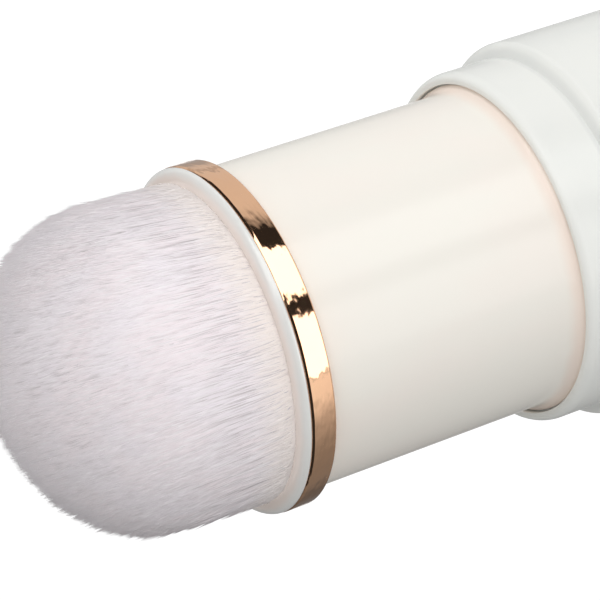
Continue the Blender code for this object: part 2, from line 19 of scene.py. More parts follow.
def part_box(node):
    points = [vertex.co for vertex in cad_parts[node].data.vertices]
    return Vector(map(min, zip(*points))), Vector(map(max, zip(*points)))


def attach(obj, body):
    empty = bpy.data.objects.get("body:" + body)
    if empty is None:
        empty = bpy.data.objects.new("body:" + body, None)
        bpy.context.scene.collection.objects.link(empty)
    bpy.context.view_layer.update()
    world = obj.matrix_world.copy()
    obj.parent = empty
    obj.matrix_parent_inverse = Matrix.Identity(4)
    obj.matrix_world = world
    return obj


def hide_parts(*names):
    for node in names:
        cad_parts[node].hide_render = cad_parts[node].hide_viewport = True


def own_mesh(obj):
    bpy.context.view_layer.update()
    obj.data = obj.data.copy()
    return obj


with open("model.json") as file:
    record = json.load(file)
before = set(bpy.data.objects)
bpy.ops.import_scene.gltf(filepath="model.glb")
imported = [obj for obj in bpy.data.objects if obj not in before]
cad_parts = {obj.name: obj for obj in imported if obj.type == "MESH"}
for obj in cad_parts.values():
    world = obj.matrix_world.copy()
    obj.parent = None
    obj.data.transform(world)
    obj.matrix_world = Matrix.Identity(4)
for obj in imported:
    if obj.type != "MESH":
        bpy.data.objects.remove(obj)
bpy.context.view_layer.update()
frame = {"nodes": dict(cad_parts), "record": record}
NECK_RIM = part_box("handle_shell")[1].z
LIP_RADIUS, _, LIP_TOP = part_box("mouth_lip")[1]
CUP_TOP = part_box("brush_cup")[1].z
TIP_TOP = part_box("bristle_head")[1].z

MILLIMETRE = 0.001

# Camera, as the photograph was taken
CAMERA_PLACE = Vector((0.0, -0.24498, 0.18466))
CAMERA_AIM = Vector((0.00120, -0.00317, 0.07690))
CAMERA_ROLL = math.radians(-108.88)
CAMERA_LENS = 180.0
CAMERA_SENSOR = 36.0

# Studio: lamps as (azimuth, elevation, strength, softness), the even light and the floor
KEY_LAMP = (25.0, 14.0, 1.75, 60.0)
BACK_LAMP = (130.0, 6.0, 0.75, 60.0)
FILL_LAMP = (-75.0, 6.0, 0.16, 60.0)
AMBIENT = 0.49
AMBIENT_LEAN = 0.08
FLOOR_SIZE = 6.0
FLOOR_DROP = 0.0001
FLOOR_GLOW = 1.22
FLOOR_GLOW_SHARE = 0.75
FLOOR_MATT = (0.9, 0.9, 0.9)

# What polished surfaces mirror: strip lights and dark cards, as (azimuth, brightness)
STRIP_BRIGHTNESS = 2.6
STRIPS = (
    (-180, 1.00),
    (-168, 0.60),
    (-166, 0.16),
    (-140, 0.13),
    (-126, 0.22),
    (-96, 0.27),
    (-80, 0.38),
    (-70, 0.52),
    (-62, 0.74),
    (-54, 1.00),
    (-42, 1.05),
    (-40, 0.45),
    (-38, 2.60),
    (-1, 2.60),
    (0, 0.03),
    (12, 0.03),
    (13, 2.60),
    (45, 2.60),
    (46, 0.03),
    (62, 0.03),
    (67, 0.33),
    (75, 0.70),
    (82, 0.78),
    (127, 0.74),
    (130, 0.50),
    (133, 0.55),
    (137, 0.72),
    (150, 0.42),
    (166, 0.40),
    (168, 1.00),
    (180, 1.00),
)

# Above the strips lies a dark card with a bright window, and below them a grey one. They fade in between
# two values of a direction's Z.
OVERHEAD_FADE = (0.20, 0.28)
OVERHEAD_DARK = 0.03
OVERHEAD_WINDOW = (18, 62)
WINDOW_EDGE = 1.44
UNDERFOOT_FADE = (-0.80, -0.70)
UNDERFOOT_GREY = 0.30

# Turned pieces
ROUND_SEGMENTS = 192
ROUND_STEPS = 6
NEAR = 0.00001
MERGE_DISTANCE = 0.000001
SHARP_ANGLE = math.radians(35)
MOULD_RIPPLE = 0.0000006

# Handle, down from the neck's rim
NECK_RADIUS = 0.01675
NECK_BORE = 0.01577
NECK_LENGTH = 0.0056
NECK_RIM_ROUND = (0.00058, 0.00105)
NECK_BORE_ROUND = 0.00010
NECK_LEDGE_DEPTH = 0.0007
NECK_LEDGE_BORE = 0.01512
RIM_STEPS = 12
SHOULDER_TOP = NECK_RIM - NECK_LENGTH
SHOULDER_RISE = 0.0012
SHOULDER_CREASE = 1.05
SHOULDER_STEPS = 18
# How far the handle's painted shade reaches either side of the crease
CREASE_SHADE_REACH = 0.0005916
HANDLE_BORE = 0.01670
HANDLE_ROOF = 0.0026
BASE_ROUND = 0.00090
BASE_PLATE = 0.0016
BASE_SKIRT_WALL = 0.0011
BASE_RECESS_RADIUS = 0.0122
BASE_RECESS_DEPTH = 0.00035
BASE_EDGE = 0.00025

# Barrel, with its flare above and below the neck's rim, and its ring and lip
BARREL_WALL = 0.0008
BARREL_EDGE = 0.00008
# Heights above the neck's rim across which the barrel's painted warm shade fades
BARREL_SHADE_RISE = (0.0001, 0.0014)
BARREL_RIPPLE = 0.0000005
FLARE_RADIUS = 0.01562
FLARE_RISE = 0.0023
FLARE_DEPTH = 0.0004
FLARE_END_DEPTH = 0.0006
FLARE_CURVE = 4.5
FLARE_STEPS = 12
RING_BORE = 0.01460
RING_BEVEL = (0.00016, 0.00023)
RING_EDGE = 0.00004
RING_EDGE_STEPS = 3
LIP_SEAT = 0.00002
LIP_CREST = 0.01475
LIP_MOUTH = 0.01420
LIP_OUTER_EDGE = 0.00010
LIP_SKIRT_RADIUS = 0.0140
LIP_COLLAR_RADIUS = 0.0145
LIP_FUNNEL_BORE = 0.0133
LIP_FUNNEL_DEPTH = 0.0029
LIP_ARC_STEPS = 12
# Radii across which the lip's painted warm bounce light fades
LIP_BOUNCE_RADII = (0.0151, 0.01595)

# Hairs, with a strand's outline as (share of its length, share of its width)
HAIR_COUNT = 64000
HAIR_SECTORS = 12
HAIR_WIDTH = 0.00011
HAIR_SIDES = 3
HAIR_STATIONS = ((0.0, 1.0), (0.12, 1.0), (0.50, 1.0), (0.80, 0.70))
HAIR_SEED = 7
HAIR_JITTER = 0.5
HAIR_ROOT_SINK = 0.0006
HAIR_SHOWING = 0.0060
HAIR_SPIN = 0.30
# Heights above the lip across which the hair's painted warm shade fades
HAIR_SHADE_RISE = (0.00052, 0.00452)
SHORTEST_TIP = 0.0004
LENGTH_SPREAD = 0.00050
TIPS_PROUD = 0.0006
TIP_LEAN = 0.00010
DEPTH_SPREAD = 0.00006

# Tufts within tufts, as (count, how much shorter, how far they lean, how much they draw together)
TUFTS = (
    (110, 0.00035, 0.00008, 0.02),
    (900, 0.00030, 0.00004, 0.06),
    (12000, 0.00110, 0.00002, 0.30),
)
TUFT_JITTER = 0.6
GOLDEN_ANGLE = math.pi * (3 - math.sqrt(5))

# Shading of the hair: shares of the normals, and its painted shade: how far behind the tips it darkens
NORMAL_SOFTNESS = 0.64
NORMAL_LIFT = 0.40
NO_LENGTH = 1e-9
BACK_SHADE = 0.85
SHORT_SHADE = (0.5, 4.4)
BACK_FADE = (0.0023, 0.0048)
CORE_BACK = 0.0030

# Outline of the whole head, with the radius of its bundle of hair at each height
FAN_SLOPE = 0.10
HEAD_LEAN = 0.00088
CUP_BUNDLE = 0.01200
ROOT_BUNDLE = 0.01300
MOUTH_BUNDLE = 0.01415
CREST_BUNDLE = 0.01490
SWELL_BUNDLE = 0.01505
CREST_RISE = 0.0003
SWELL_RISE = 0.0085
SWELL_HEIGHT = LIP_TOP + SWELL_RISE
OUTLINE_STEPS = 600
CORE_INSET = 0.00090
CORE_STEPS = 24
CORE_SEGMENTS = 96


class Field:
    """A socket that Python's operators work on: an expression adds its Math nodes."""

    def __init__(self, shading, socket):
        self.shading = shading
        self.socket = socket

    def __add__(self, other):
        return self.shading.maths("ADD", self, other)

    def __radd__(self, other):
        return self.shading.maths("ADD", other, self)

    def __sub__(self, other):
        return self.shading.maths("SUBTRACT", self, other)

    def __rsub__(self, other):
        return self.shading.maths("SUBTRACT", other, self)

    def __mul__(self, other):
        return self.shading.maths("MULTIPLY", self, other)

    def __truediv__(self, other):
        return self.shading.maths("DIVIDE", self, other)

    def __pow__(self, other):
        return self.shading.maths("POWER", self, other)


class Shading:
    """The nodes of one material or world."""

    def __init__(self, owner):
        owner.use_nodes = True
        self.tree = owner.node_tree
        self.tree.nodes.clear()

    def node(self, kind, settings=None, inputs=None, output=0):
        """A new node with its settings made first, then its inputs, as the field of one output."""
        made = self.tree.nodes.new(kind)
        for name, value in (settings or {}).items():
            if name == "stops":
                self.set_stops(made.color_ramp, value)
            else:
                setattr(made, name, value)
        for name, value in (inputs or {}).items():
            if isinstance(value, Field):
                self.tree.links.new(value.socket, made.inputs[name])
            else:
                made.inputs[name].default_value = value
        return Field(self, made.outputs[output]) if made.outputs else made

    @staticmethod
    def set_stops(ramp, stops):
        while len(ramp.elements) < len(stops):
            ramp.elements.new(1.0)
        for element, (position, colour) in zip(ramp.elements, stops):
            element.position = position
            element.color = (*colour, 1.0)

    def maths(self, operation, first, second):
        return self.node("ShaderNodeMath", {"operation": operation}, {0: first, 1: second})

    def place(self, stretch=(1.0, 1.0, 1.0)):
        """Object coordinates in millimetres, stretched so that a pattern is finer along an axis."""
        spot = self.node("ShaderNodeTexCoord", output="Object")
        scale = [share / MILLIMETRE for share in stretch]
        return self.node("ShaderNodeMapping", inputs={"Vector": spot, "Scale": scale})

    def noise(self, scale, detail=2.0, stretch=(1.0, 1.0, 1.0)):
        """Noise from 0 to 1, whose scale is in features a millimetre."""
        inputs = {"Vector": self.place(stretch), "Scale": scale, "Detail": detail}
        return self.node("ShaderNodeTexNoise", inputs=inputs)

    def along(self, axis):
        """One Object coordinate in millimetres."""
        return self.node("ShaderNodeSeparateXYZ", inputs={0: self.place()}, output=axis)

    def step(self, value, low, high):
        """0 below low, 1 above high, and smooth between."""
        settings = {"interpolation_type": "SMOOTHSTEP"}
        inputs = {"Value": value, "From Min": low, "From Max": high}
        return self.node("ShaderNodeMapRange", settings, inputs)

    def blend(self, share, first, second):
        """A colour between two colours."""
        inputs = {0: share}
        for index, colour in ((6, first), (7, second)):
            inputs[index] = colour if isinstance(colour, Field) else (*colour, 1.0)
        return self.node("ShaderNodeMix", {"data_type": "RGBA"}, inputs, output=2)

    def bump(self, height, distance):
        return self.node("ShaderNodeBump", inputs={"Height": height, "Distance": distance})

    def surface(self, shader):
        self.node("ShaderNodeOutputMaterial", inputs={"Surface": shader})


def finish(name, paint):
    """A material whose shader is painted by a function of its Shading."""
    material = bpy.data.materials.new(name)
    shading = Shading(material)
    shading.surface(paint(shading))
    return material


def between(rises, base=0.0):
    """Where a tone begins and ends, in millimetres, from two rises above a base in metres."""
    return [(base + rise) / MILLIMETRE for rise in rises]


def polished(shading, base, roughness, specular, ripple_scale=0.35, ripple=MOULD_RIPPLE):
    """Moulded plastic in one base colour: uneven gloss and a faint ripple left by the mould."""
    polish = shading.noise(0.9)
    return shading.node(
        "ShaderNodeBsdfPrincipled",
        inputs={
            "Base Color": base,
            "Roughness": roughness + (polish - 0.5) * 0.06,
            "Specular IOR Level": specular,
            "Normal": shading.bump(shading.noise(ripple_scale, detail=1.0), ripple),
        },
    )


def moulded(shading, colour, shade, roughness, specular=0.5, ripple=MOULD_RIPPLE):
    """Moulded plastic, clouded between two colours, with a fine grain in its gloss."""
    cloud = shading.noise(0.22, detail=3.0)
    fine = shading.noise(3.0)
    base = shading.blend(shading.step(cloud, 0.35, 0.70), colour, shade)
    return polished(shading, base, roughness + (fine - 0.5) * 0.03, specular, ripple=ripple)


def handle_white(shading):
    """Cool white, with painted shade in the crease where the neck stands on the shoulder."""
    gap = shading.along("Z") - SHOULDER_TOP / MILLIMETRE
    # Painted shade: a darker band round the crease at the foot of the neck
    crease_shade = (1.0 - shading.step(gap * gap, 0.0, (CREASE_SHADE_REACH / MILLIMETRE) ** 2)) * 0.6
    colour = shading.blend(crease_shade, (0.868, 0.874, 0.838), (0.740, 0.748, 0.728))
    shade = shading.blend(crease_shade, (0.852, 0.862, 0.828), (0.725, 0.736, 0.718))
    return moulded(shading, colour, shade, 0.22, specular=0.25)


def lip_white(shading):
    """White, with painted warm light bounced from the hair on the inner side, where the hair lies against
    it.
    """
    x, y = shading.along("X"), shading.along("Y")
    radius = (x * x + y * y) ** 0.5 + (shading.noise(0.8) - 0.5) * 0.3
    # Painted warm bounce light on the inner side, next to the hair
    inside = 1.0 - shading.step(radius, *between(LIP_BOUNCE_RADII))
    base = shading.blend(inside, (0.805, 0.805, 0.782), (0.850, 0.760, 0.700))
    return polished(shading, base, 0.20, 0.7)


def barrel_cream(shading):
    """Glossy cream, with painted warm shade low down, where the neck shades and tints it."""
    cloud = shading.noise(0.16, stretch=(1.0, 1.0, 0.45))
    height = shading.along("Z") + (shading.noise(0.5) - 0.5) * 0.5
    base = shading.blend(shading.step(cloud, 0.35, 0.68), (0.930, 0.898, 0.828), (0.940, 0.888, 0.820))
    # Painted shade with a warm tint, just above the neck's rim
    painted_warm_shade = 1.0 - shading.step(height, *between(BARREL_SHADE_RISE, NECK_RIM))
    base = shading.blend(painted_warm_shade * 0.85, base, (0.92, 0.79, 0.70))
    return polished(shading, base, 0.18, 0.25, ripple_scale=0.25, ripple=BARREL_RIPPLE)


def rose_gold(shading):
    """Polished plating. A fine unevenness along the axis makes the edges of mirrored cards jagged."""
    teeth = shading.noise(1.0, detail=1.4, stretch=(0.6, 0.6, 1.6))
    grain = shading.noise(9.0, detail=1.0)
    tone = shading.noise(0.5)
    base = shading.blend(tone, (0.905, 0.560, 0.350), (0.880, 0.530, 0.330))
    return shading.node(
        "ShaderNodeBsdfPrincipled",
        inputs={
            "Base Color": base,
            "Metallic": 1.0,
            "Roughness": 0.05 + grain * 0.03,
            "Normal": shading.bump(teeth, 0.00007),
        },
    )


def bristle(shading):
    """Soft white hair: pale lilac and pink, streaked along the hair.

    Painted shade: warm where it leaves the mouth, in thin strokes between the hairs, and behind the tips.
    """
    streak = shading.noise(3.2, detail=3.0, stretch=(1.0, 1.0, 0.12))
    strand = shading.noise(4.5, detail=1.0, stretch=(1.0, 1.0, 0.10))
    patch = shading.noise(0.25, stretch=(1.0, 1.0, 0.6))
    pale = shading.blend(shading.step(patch, 0.38, 0.62), (0.965, 0.892, 0.942), (0.984, 0.880, 0.914))
    base = shading.blend(shading.step(streak, 0.40, 0.70), pale, (0.984, 0.934, 0.958))
    # Painted shade: thin dark strokes between the hairs, standing in for their shadows on each other
    base = shading.blend(shading.step(strand, 0.62, 0.70) * 0.34, base, (0.62, 0.56, 0.59))
    height = shading.along("Z") + (streak - 0.5) * 3.0
    # Painted warm shade where the hair leaves the mouth
    painted_warm_shade = 1.0 - shading.step(height, *between(HAIR_SHADE_RISE, LIP_TOP))
    base = shading.blend(painted_warm_shade * 0.8, base, (0.985, 0.880, 0.800))
    back = shading.node("ShaderNodeAttribute", {"attribute_name": "back"}, output="Fac")
    # Painted shade, darker the further a spot lies behind the tips
    base = shading.blend(shading.step(back, *between(BACK_FADE)), base, (0.62, 0.55, 0.57))
    return shading.node(
        "ShaderNodeBsdfPrincipled",
        inputs={
            "Base Color": base,
            "Roughness": 0.50 + streak * 0.15,
            "Specular IOR Level": 0.5,
            "Sheen Weight": 0.95,
            "Sheen Roughness": 0.8,
            "Sheen Tint": (1.0, 0.96, 0.98, 1.0),
        },
    )


def inner_plastic(shading):
    return moulded(shading, (0.76, 0.76, 0.73), (0.71, 0.71, 0.69), 0.42, ripple=0.000002)


def slip_plastic(shading):
    return moulded(shading, (0.62, 0.63, 0.64), (0.57, 0.58, 0.60), 0.34, ripple=0.000001)


def turned_metal(shading, colour, shade, roughness):
    """Metal with the fine rings that a lathe leaves."""
    rings = shading.noise(7.0, stretch=(0.15, 0.15, 1.0))
    return shading.node(
        "ShaderNodeBsdfPrincipled",
        inputs={
            "Base Color": shading.blend(rings, colour, shade),
            "Metallic": 1.0,
            "Roughness": roughness + (rings - 0.5) * 0.16,
            "Normal": shading.bump(rings, 0.0000010),
        },
    )


def steel(shading):
    return turned_metal(shading, (0.55, 0.56, 0.58), (0.48, 0.49, 0.51), 0.32)


def aluminium(shading):
    return turned_metal(shading, (0.80, 0.81, 0.82), (0.72, 0.73, 0.75), 0.28)


def rubber(shading):
    bloom = shading.noise(1.6, detail=4.0)
    return shading.node(
        "ShaderNodeBsdfPrincipled",
        inputs={
            "Base Color": shading.blend(bloom, (0.030, 0.030, 0.032), (0.060, 0.059, 0.062)),
            "Roughness": 0.70 + bloom * 0.20,
            "Normal": shading.bump(shading.noise(6.0, detail=3.0), 0.000004),
        },
    )


def glue(shading):
    pool = shading.noise(0.7)
    return shading.node(
        "ShaderNodeBsdfPrincipled",
        inputs={
            "Base Color": shading.blend(pool, (0.74, 0.64, 0.42), (0.66, 0.55, 0.33)),
            "Roughness": 0.25 + pool * 0.2,
            "Normal": shading.bump(pool, 0.00006),
        },
    )


FINISHES = {
    paint.__name__: finish(paint.__name__, paint)
    for paint in (
        handle_white,
        barrel_cream,
        lip_white,
        rose_gold,
        bristle,
        inner_plastic,
        slip_plastic,
        steel,
        aluminium,
        rubber,
        glue,
    )
}


def dress_cad_nodes():
    """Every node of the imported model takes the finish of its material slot."""
    for row in frame["record"]["subparts"]:
        slots = frame["nodes"][row["node"]].data.materials
        slots.clear()
        slots.append(FINISHES[row["material_slot"]])


def seat(piece, body, slot, node):
    """A finished piece rides on its body, takes its finish and stands for its node."""
    piece.data.materials.clear()
    piece.data.materials.append(FINISHES[slot])
    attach(piece, body)
    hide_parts(node)


def lathe(name, outline, filled=False, segments=ROUND_SEGMENTS):
    """A ring at the outline's first (radius, height), extruded and scaled through the others.

    A filled one starts from a disc, and a radius of 0 closes it on the axis. Otherwise the outline
    ends where it started, and the last ring is merged with the first.
    """
    bpy.ops.object.select_all(action="DESELECT")
    (radius, height), *others = outline
    fill = "NGON" if filled else "NOTHING"
    bpy.ops.mesh.primitive_circle_add(vertices=segments, radius=radius, fill_type=fill)
    piece = bpy.context.object
    piece.name = piece.data.name = name
    bpy.ops.object.mode_set(mode="EDIT")
    bpy.ops.mesh.select_all(action="SELECT")
    bpy.ops.transform.translate(value=(0, 0, height))
    for following, top in others:
        bpy.ops.mesh.extrude_region_move(TRANSFORM_OT_translate={"value": (0, 0, top - height)})
        if following == 0:
            bpy.ops.mesh.merge(type="CENTER")
        else:
            share = following / radius
            bpy.ops.transform.resize(value=(share, share, 1), center_override=(0, 0, top))
        radius, height = following, top
    bpy.ops.mesh.select_all(action="SELECT")
    bpy.ops.mesh.remove_doubles(threshold=MERGE_DISTANCE)
    bpy.ops.mesh.normals_make_consistent(inside=False)
    bpy.ops.object.mode_set(mode="OBJECT")
    return piece


def round_off(piece, radius, height, width, steps=ROUND_STEPS):
    """Rounds the edge that runs round the axis at a radius and a height."""
    bpy.context.view_layer.objects.active = piece
    bpy.ops.object.mode_set(mode="EDIT")
    bpy.ops.mesh.select_mode(type="EDGE")
    bpy.ops.mesh.select_all(action="DESELECT")
    shape = bmesh.from_edit_mesh(piece.data)
    for edge in shape.edges:
        if all(math.hypot(v.co.xy.length - radius, v.co.z - height) < NEAR for v in edge.verts):
            edge.select_set(True)
    bmesh.update_edit_mesh(piece.data)
    bpy.ops.mesh.bevel(offset=width, segments=steps, affect="EDGES")
    bpy.ops.mesh.select_mode(type="VERT")
    bpy.ops.object.mode_set(mode="OBJECT")


def smooth(piece):
    bpy.ops.object.select_all(action="DESELECT")
    piece.select_set(True)
    bpy.context.view_layer.objects.active = piece
    bpy.ops.object.shade_smooth_by_angle(angle=SHARP_ANGLE)


def arc(radius, height, across, up, start, end, steps):
    """Outline points on an ellipse round (radius, height), from start to end in degrees."""
    angles = [math.radians(start + (end - start) * step / steps) for step in range(steps + 1)]
    return [(radius + across * math.cos(a), height + up * math.sin(a)) for a in angles]


def handle_moulding():
    """Handle and neck in one glossy moulding: a round shoulder, a crease above it and a thin round rim.

    A ledge inside the neck closes the gap round the barrel, just below the rim.
    """
    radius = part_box("handle_shell")[1].x
    ledge, roof = NECK_RIM - NECK_LEDGE_DEPTH, SHOULDER_TOP - HANDLE_ROOF
    across, up = NECK_RIM_ROUND
    shoulder = []
    for step in range(SHOULDER_STEPS + 1):
        share = step / SHOULDER_STEPS
        reach = NECK_RADIUS + (radius - NECK_RADIUS) * (1 - share**2) ** SHOULDER_CREASE
        shoulder.append((reach, SHOULDER_TOP - SHOULDER_RISE * (1 - share)))
    outline = (
        [(HANDLE_BORE, 0), (radius, 0)]
        + shoulder
        + arc(NECK_RADIUS - across, NECK_RIM - up, across, up, 0, 90, RIM_STEPS)
        + [
            (NECK_BORE, NECK_RIM),
            (NECK_BORE, ledge),
            (NECK_LEDGE_BORE, ledge),
            (NECK_LEDGE_BORE, roof),
            (HANDLE_BORE, roof),
            (HANDLE_BORE, 0),
        ]
    )
    piece = lathe("handle_moulding", outline)
    round_off(piece, radius, 0, BASE_ROUND)
    round_off(piece, NECK_BORE, NECK_RIM, NECK_BORE_ROUND)
    smooth(piece)
    seat(piece, "handle", "handle_white", "handle_shell")


def base_plate():
    """Plate that closes the handle, with a recessed middle under the brush and a skirt inside."""
    _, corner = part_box("base_cap")
    radius, top = corner.x, corner.z
    bore = radius - BASE_SKIRT_WALL
    outline = [
        (BASE_RECESS_RADIUS, BASE_RECESS_DEPTH),
        (BASE_RECESS_RADIUS, 0),
        (radius, 0),
        (radius, top),
        (bore, top),
        (bore, BASE_PLATE),
        (0, BASE_PLATE),
    ]
    piece = lathe("base_plate", outline, filled=True)
    round_off(piece, BASE_RECESS_RADIUS, 0, BASE_EDGE)
    round_off(piece, radius, 0, BASE_EDGE)
    smooth(piece)
    seat(piece, "handle", "handle_white", "base_cap")


def barrel_moulding():
    """Barrel with a slight flare where it comes out of the neck."""
    low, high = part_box("barrel_tube")
    radius, bore = high.x, high.x - BARREL_WALL
    flare = []
    for step in range(FLARE_STEPS + 1):
        share = 1 - step / FLARE_STEPS
        across = radius + (FLARE_RADIUS - radius) * share**FLARE_CURVE
        flare.append((across, NECK_RIM + FLARE_RISE - (FLARE_RISE + FLARE_DEPTH) * share))
    outline = [
        (bore, low.z),
        (radius, low.z),
        (radius, NECK_RIM - FLARE_END_DEPTH),
        *flare,
        (radius, high.z),
        (bore, high.z),
        (bore, low.z),
    ]
    piece = lathe("barrel_moulding", outline)
    round_off(piece, radius, high.z, BARREL_EDGE)
    smooth(piece)
    seat(piece, "barrel", "barrel_cream", "barrel_tube")


def polished_ring():
    """Flat polished band with a narrow chamfer at each edge, the front one steeper."""
    low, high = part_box("trim_ring")
    radius, (inset, slope) = high.x, RING_BEVEL
    outline = [
        (RING_BORE, low.z),
        (radius - inset, low.z),
        (radius, low.z + inset),
        (radius, high.z - slope),
        (radius - inset, high.z),
        (RING_BORE, high.z),
        (RING_BORE, low.z),
    ]
    piece = lathe("polished_ring", outline)
    for across, height in outline[1:5]:
        round_off(piece, across, height, RING_EDGE, RING_EDGE_STEPS)
    smooth(piece)
    seat(piece, "barrel", "rose_gold", "trim_ring")


def mouth_bead():
    """White bead round the mouth, whose funnel leads the bristles in, on a skirt inside the barrel."""
    low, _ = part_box("mouth_lip")
    ring_bottom, ring_top = (corner.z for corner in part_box("trim_ring"))
    bottom = ring_top + LIP_SEAT
    edge = bottom + LIP_OUTER_EDGE
    crest_round = LIP_CREST - LIP_MOUTH
    outline = (
        [
            (LIP_FUNNEL_BORE, low.z),
            (LIP_SKIRT_RADIUS, low.z),
            (LIP_SKIRT_RADIUS, ring_bottom),
            (LIP_COLLAR_RADIUS, ring_bottom),
            (LIP_COLLAR_RADIUS, bottom),
            (LIP_RADIUS - LIP_OUTER_EDGE, bottom),
        ]
        + arc(LIP_CREST, edge, LIP_RADIUS - LIP_CREST, LIP_TOP - edge, 0, 90, LIP_ARC_STEPS)
        + arc(LIP_CREST, LIP_TOP - crest_round, crest_round, crest_round, 90, 180, LIP_ARC_STEPS)[1:]
        + [(LIP_FUNNEL_BORE, LIP_TOP - LIP_FUNNEL_DEPTH), (LIP_FUNNEL_BORE, low.z)]
    )
    piece = lathe("mouth_bead", outline)
    smooth(piece)
    seat(piece, "barrel", "lip_white", "mouth_lip")


def hair_strand():
    """One hair of unit height and width: a thin three-sided tube that tapers to a point."""
    bpy.ops.object.select_all(action="DESELECT")
    (height, width), *others = HAIR_STATIONS
    bpy.ops.mesh.primitive_circle_add(vertices=HAIR_SIDES, radius=width / 2, fill_type="NGON")
    strand = bpy.context.object
    bpy.ops.object.mode_set(mode="EDIT")
    bpy.ops.mesh.select_all(action="SELECT")
    for following, wide in [*others, (1.0, 0.0)]:
        bpy.ops.mesh.extrude_region_move(TRANSFORM_OT_translate={"value": (0, 0, following - height)})
        if wide == 0:
            bpy.ops.mesh.merge(type="CENTER")
        else:
            share = wide / width
            bpy.ops.transform.resize(value=(share, share, 1), center_override=(0, 0, following))
        height, width = following, wide
    bpy.ops.mesh.select_all(action="SELECT")
    bpy.ops.mesh.normals_make_consistent(inside=False)
    bpy.ops.mesh.quads_convert_to_tris()
    bpy.ops.object.mode_set(mode="OBJECT")
    corners = np.array([v.co for v in strand.data.vertices])
    faces = np.array([list(p.vertices) for p in strand.data.polygons])
    bpy.data.objects.remove(strand)
    return corners, faces


def dome_height(share):
    """Height of the tips of the hairs that stand at a share of the bundle's radius."""
    return SWELL_HEIGHT + (TIP_TOP - SWELL_HEIGHT) * np.sqrt(np.clip(1 - share**2, 0, 1))


def bundle_radius(height, top=SWELL_HEIGHT, top_radius=SWELL_BUNDLE):
    """Radius of the whole bundle of hair: held by the mouth, swelling over its crest and above it."""
    mouth = LIP_TOP - (LIP_CREST - LIP_MOUTH)
    heights = [CUP_TOP, LIP_TOP - LIP_FUNNEL_DEPTH, mouth, LIP_TOP + CREST_RISE, top]
    radii = [CUP_BUNDLE, ROOT_BUNDLE, MOUTH_BUNDLE, CREST_BUNDLE, top_radius]
    return np.interp(height, heights, radii)


def fan_radius(height):
    """Radius to which the outermost hair would spread, if it were long enough to reach a height."""
    return bundle_radius(height, TIP_TOP, CREST_BUNDLE + FAN_SLOPE * (TIP_TOP - LIP_TOP))


def outline_radius(height):
    """Radius of the outline of the head at a height."""
    share = np.clip((height - SWELL_HEIGHT) / (TIP_TOP - SWELL_HEIGHT), 0, 1)
    return np.minimum(bundle_radius(height), SWELL_BUNDLE * np.sqrt(1 - share**2))


def tip_height(share):
    """Height at which a spreading hair comes to the outline, where it ends."""
    heights = np.linspace(LIP_TOP + CREST_RISE, TIP_TOP, OUTLINE_STEPS)
    reach = outline_radius(heights) / fan_radius(heights)
    return np.interp(share, reach[::-1], heights[::-1])


def head_lean(height):
    """How far the head leans to the side at a height."""
    return HEAD_LEAN * np.clip((height - LIP_TOP) / (TIP_TOP - LIP_TOP), 0, 1)


def sunflower(count):
    """Points spread evenly over a disc of unit radius, as (radius, turn)."""
    index = np.arange(count)
    return np.sqrt((index + 0.5) / count), index * GOLDEN_ANGLE


def tufts(chance, spot, count, spread, sway, pull):
    """Tufts of hair: each hair's nearest tuft, how much shorter it is, and how it leans."""
    share, turn = sunflower(count)
    turn = turn + chance.normal(0, TUFT_JITTER, count) / math.sqrt(count) / share
    middles = np.stack([share * np.cos(turn), share * np.sin(turn)], axis=1)
    tree = KDTree(count)
    for index, (across, aside) in enumerate(middles):
        tree.insert((across, aside, 0), index)
    tree.balance()
    nearest = np.array([tree.find((across, aside, 0))[1] for across, aside in spot])
    shorter = chance.uniform(0, 1, count)[nearest] * spread
    lean = chance.normal(0, sway, (count, 2))[nearest]
    lean = lean + (middles[nearest] - spot) * pull * SWELL_BUNDLE
    return shorter, lean


def head_normals(x, y, height):
    """Outward normals of the head as one smooth dome, so that fine hair shades as softly as it does.

    They lean up a little, because the tips of the hair catch the light all over the head.
    """
    dome = np.clip(height - SWELL_HEIGHT, 0, None) / (TIP_TOP - SWELL_HEIGHT) ** 2
    rise = dome + NORMAL_LIFT / SWELL_BUNDLE
    outward = np.stack([x / SWELL_BUNDLE**2, y / SWELL_BUNDLE**2, rise], axis=-1)
    return outward / np.linalg.norm(outward, axis=-1, keepdims=True)


def strand_normals(across, aside):
    """Normals of the strands' own sides."""
    beside = np.stack([across, aside, np.zeros_like(across)], axis=2)
    return beside / np.maximum(np.linalg.norm(beside, axis=2, keepdims=True), NO_LENGTH)


def plant_hairs(chance):
    """Where each hair stands in the bundle, as its turn and its spot, and its share of the radius."""
    share, turn = sunflower(HAIR_COUNT)
    aside = chance.normal(0, HAIR_JITTER, HAIR_COUNT) * HAIR_WIDTH / SWELL_BUNDLE / share
    turn = (turn + aside) % math.tau
    return share, turn, np.stack([share * np.cos(turn), share * np.sin(turn)], axis=1)


def trim_hairs(chance, share, spot):
    """Height of each hair's tip, how its tip leans, and how much its finest tuft falls short."""
    short = np.abs(chance.normal(0, LENGTH_SPREAD, HAIR_COUNT))
    lean = chance.normal(0, TIP_LEAN, (HAIR_COUNT, 2))
    for tuft in TUFTS:
        tuft_short, tuft_lean = tufts(chance, spot, *tuft)
        short = short + tuft_short
        lean = lean + tuft_lean
    tip = np.maximum(tip_height(share) + TIPS_PROUD - short, LIP_TOP + SHORTEST_TIP)
    return tip, lean, tuft_short


